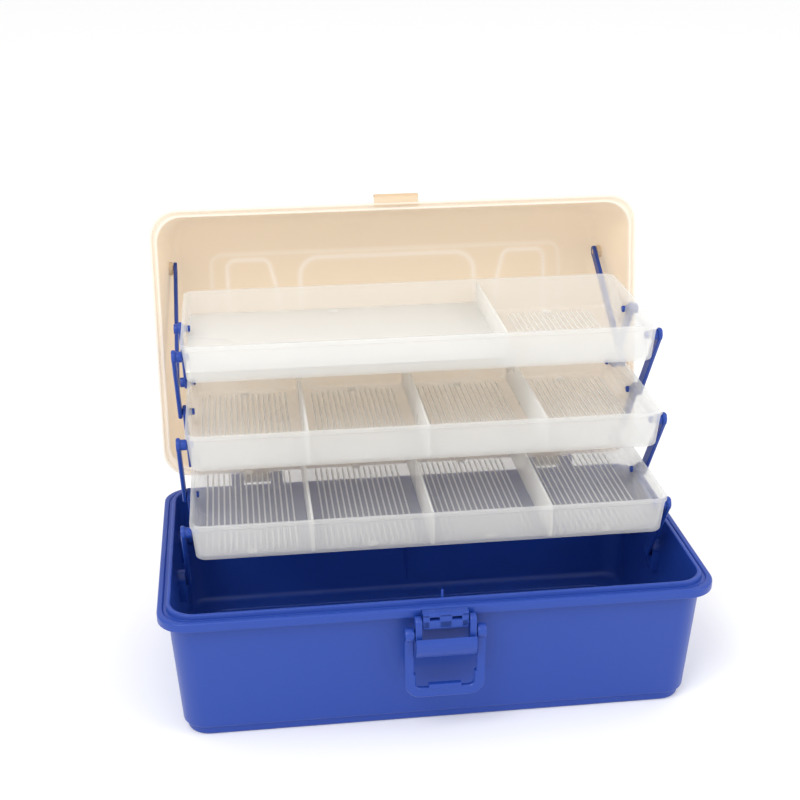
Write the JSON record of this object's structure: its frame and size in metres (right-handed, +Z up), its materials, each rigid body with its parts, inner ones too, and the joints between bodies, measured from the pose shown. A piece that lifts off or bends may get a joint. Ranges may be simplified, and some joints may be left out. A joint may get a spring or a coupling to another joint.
{
  "type": "sewing box",
  "caption": "Cantilever sewing box: open tub, clear divided trays stepped on swinging link arms, hinged lid leaning back, front bail latch.",
  "frame": {"origin": "centre of the underside of the tub", "axes": "+X to the right seen from the latch side, +Y towards the lid hinge at the back, +Z up"},
  "size_m": [0.32, 0.2876, 0.2661],
  "materials": {
    "blue_plastic": "glossy royal blue polypropylene",
    "cream_plastic": "cream translucent polypropylene, satin",
    "clear_plastic": "milky clear polypropylene"
  },
  "bodies": {
    "tub": {"base_tub": "blue_plastic", "hinge_pins": "blue_plastic", "latch_pin": "blue_plastic"},
    "lid": {"lid_shell": "cream_plastic"},
    "handle": {"carry_handle": "cream_plastic"},
    "lever": {"latch_lever": "blue_plastic"},
    "bail": {"latch_bail": "blue_plastic"},
    "tray_1": {"bottom_tray": "clear_plastic"},
    "tray_2": {"middle_tray": "clear_plastic"},
    "tray_3": {"top_tray": "clear_plastic"},
    "link_low_front_left": {"link_low_front_left": "blue_plastic"},
    "link_low_front_right": {"link_low_front_right": "blue_plastic"},
    "link_low_rear_left": {"link_low_rear_left": "blue_plastic"},
    "link_low_rear_right": {"link_low_rear_right": "blue_plastic"},
    "link_mid_front_left": {"link_mid_front_left": "blue_plastic"},
    "link_mid_front_right": {"link_mid_front_right": "blue_plastic"},
    "link_mid_rear_left": {"link_mid_rear_left": "blue_plastic"},
    "link_mid_rear_right": {"link_mid_rear_right": "blue_plastic"},
    "link_top_front_left": {"link_top_front_left": "blue_plastic"},
    "link_top_front_right": {"link_top_front_right": "blue_plastic"},
    "link_top_rear_left": {"link_top_rear_left": "blue_plastic"},
    "link_top_rear_right": {"link_top_rear_right": "blue_plastic"},
    "lid_link_left": {"lid_link_left": "blue_plastic"},
    "lid_link_right": {"lid_link_right": "blue_plastic"}
  },
  "joints": [
    {"name": "lid_hinge", "type": "hinge", "parent": "tub", "child": "lid", "pos_m": [0, 0.092, 0.0845], "axis": [1, 0, 0], "range_deg": [0, 100.5]},
    {"name": "link_low_front_left_pivot", "type": "hinge", "parent": "tub", "child": "link_low_front_left", "pos_m": [-0.145, 0, 0.0625], "axis": [1, 0, 0], "range_deg": [0, 30.45]},
    {"name": "link_low_front_right_pivot", "type": "hinge", "parent": "tub", "child": "link_low_front_right", "pos_m": [0.145, 0, 0.0625], "axis": [1, 0, 0], "range_deg": [0, 30.45]},
    {"name": "link_low_rear_left_pivot", "type": "hinge", "parent": "tub", "child": "link_low_rear_left", "pos_m": [-0.145, 0.05, 0.0625], "axis": [1, 0, 0], "range_deg": [0, 30.45]},
    {"name": "link_low_rear_right_pivot", "type": "hinge", "parent": "tub", "child": "link_low_rear_right", "pos_m": [0.145, 0.05, 0.0625], "axis": [1, 0, 0], "range_deg": [0, 30.45]},
    {"name": "tray_1_level", "type": "hinge", "parent": "link_low_rear_left", "child": "tray_1", "pos_m": [0, 0.01955, 0.10938], "axis": [1, 0, 0], "range_deg": [-30.45, 0]},
    {"name": "link_mid_front_left_pivot", "type": "hinge", "parent": "tray_1", "child": "link_mid_front_left", "pos_m": [-0.145, 0.01955, 0.10938], "axis": [1, 0, 0], "range_deg": [0, 30.45]},
    {"name": "link_mid_front_right_pivot", "type": "hinge", "parent": "tray_1", "child": "link_mid_front_right", "pos_m": [0.145, 0.01955, 0.10938], "axis": [1, 0, 0], "range_deg": [0, 30.45]},
    {"name": "link_mid_rear_left_pivot", "type": "hinge", "parent": "tray_1", "child": "link_mid_rear_left", "pos_m": [-0.145, 0.06955, 0.10938], "axis": [1, 0, 0], "range_deg": [0, 30.45]},
    {"name": "link_mid_rear_right_pivot", "type": "hinge", "parent": "tray_1", "child": "link_mid_rear_right", "pos_m": [0.145, 0.06955, 0.10938], "axis": [1, 0, 0], "range_deg": [0, 30.45]},
    {"name": "tray_2_level", "type": "hinge", "parent": "link_mid_rear_left", "child": "tray_2", "pos_m": [0, 0.03911, 0.15627], "axis": [1, 0, 0], "range_deg": [-30.45, 0]},
    {"name": "link_top_front_left_pivot", "type": "hinge", "parent": "tray_2", "child": "link_top_front_left", "pos_m": [-0.145, 0.03911, 0.15627], "axis": [1, 0, 0], "range_deg": [0, 30.45]},
    {"name": "link_top_front_right_pivot", "type": "hinge", "parent": "tray_2", "child": "link_top_front_right", "pos_m": [0.145, 0.03911, 0.15627], "axis": [1, 0, 0], "range_deg": [0, 30.45]},
    {"name": "link_top_rear_left_pivot", "type": "hinge", "parent": "tray_2", "child": "link_top_rear_left", "pos_m": [-0.145, 0.08911, 0.15627], "axis": [1, 0, 0], "range_deg": [0, 30.45]},
    {"name": "link_top_rear_right_pivot", "type": "hinge", "parent": "tray_2", "child": "link_top_rear_right", "pos_m": [0.145, 0.08911, 0.15627], "axis": [1, 0, 0], "range_deg": [0, 30.45]},
    {"name": "tray_3_level", "type": "hinge", "parent": "link_top_rear_left", "child": "tray_3", "pos_m": [0, 0.05866, 0.20315], "axis": [1, 0, 0], "range_deg": [-30.45, 0]},
    {"name": "lid_link_left_pivot", "type": "hinge", "parent": "lid", "child": "lid_link_left", "pos_m": [-0.145, 0.17283, 0.20783], "axis": [1, 0, 0], "range_deg": [0, 30.73]},
    {"name": "lid_link_right_pivot", "type": "hinge", "parent": "lid", "child": "lid_link_right", "pos_m": [0.145, 0.17283, 0.20783], "axis": [1, 0, 0], "range_deg": [0, 30.73]},
    {"name": "handle_pivot", "type": "hinge", "parent": "lid", "child": "handle", "pos_m": [0, 0.18085, 0.16109], "axis": [1, 0, 0], "range_deg": [-10, 80]},
    {"name": "lever_pivot", "type": "hinge", "parent": "tub", "child": "lever", "pos_m": [0, -0.0915, 0.075], "axis": [1, 0, 0], "range_deg": [-30, 0]},
    {"name": "bail_pivot", "type": "hinge", "parent": "lever", "child": "bail", "pos_m": [0, -0.0915, 0.0685], "axis": [1, 0, 0], "range_deg": [-155, 0]}
  ],
  "couplings": [
    {"joint": "link_low_front_left_pivot", "follows": "lid_hinge", "ratio": 0.30284},
    {"joint": "link_low_front_right_pivot", "follows": "lid_hinge", "ratio": 0.30284},
    {"joint": "link_low_rear_left_pivot", "follows": "lid_hinge", "ratio": 0.30284},
    {"joint": "link_low_rear_right_pivot", "follows": "lid_hinge", "ratio": 0.30284},
    {"joint": "tray_1_level", "follows": "lid_hinge", "ratio": -0.30284},
    {"joint": "link_mid_front_left_pivot", "follows": "lid_hinge", "ratio": 0.30284},
    {"joint": "link_mid_front_right_pivot", "follows": "lid_hinge", "ratio": 0.30284},
    {"joint": "link_mid_rear_left_pivot", "follows": "lid_hinge", "ratio": 0.30284},
    {"joint": "link_mid_rear_right_pivot", "follows": "lid_hinge", "ratio": 0.30284},
    {"joint": "tray_2_level", "follows": "lid_hinge", "ratio": -0.30284},
    {"joint": "link_top_front_left_pivot", "follows": "lid_hinge", "ratio": 0.30284},
    {"joint": "link_top_front_right_pivot", "follows": "lid_hinge", "ratio": 0.30284},
    {"joint": "link_top_rear_left_pivot", "follows": "lid_hinge", "ratio": 0.30284},
    {"joint": "link_top_rear_right_pivot", "follows": "lid_hinge", "ratio": 0.30284},
    {"joint": "tray_3_level", "follows": "lid_hinge", "ratio": -0.30284},
    {"joint": "lid_link_left_pivot", "follows": "lid_hinge", "ratio": 0.30571},
    {"joint": "lid_link_right_pivot", "follows": "lid_hinge", "ratio": 0.30571}
  ]
}
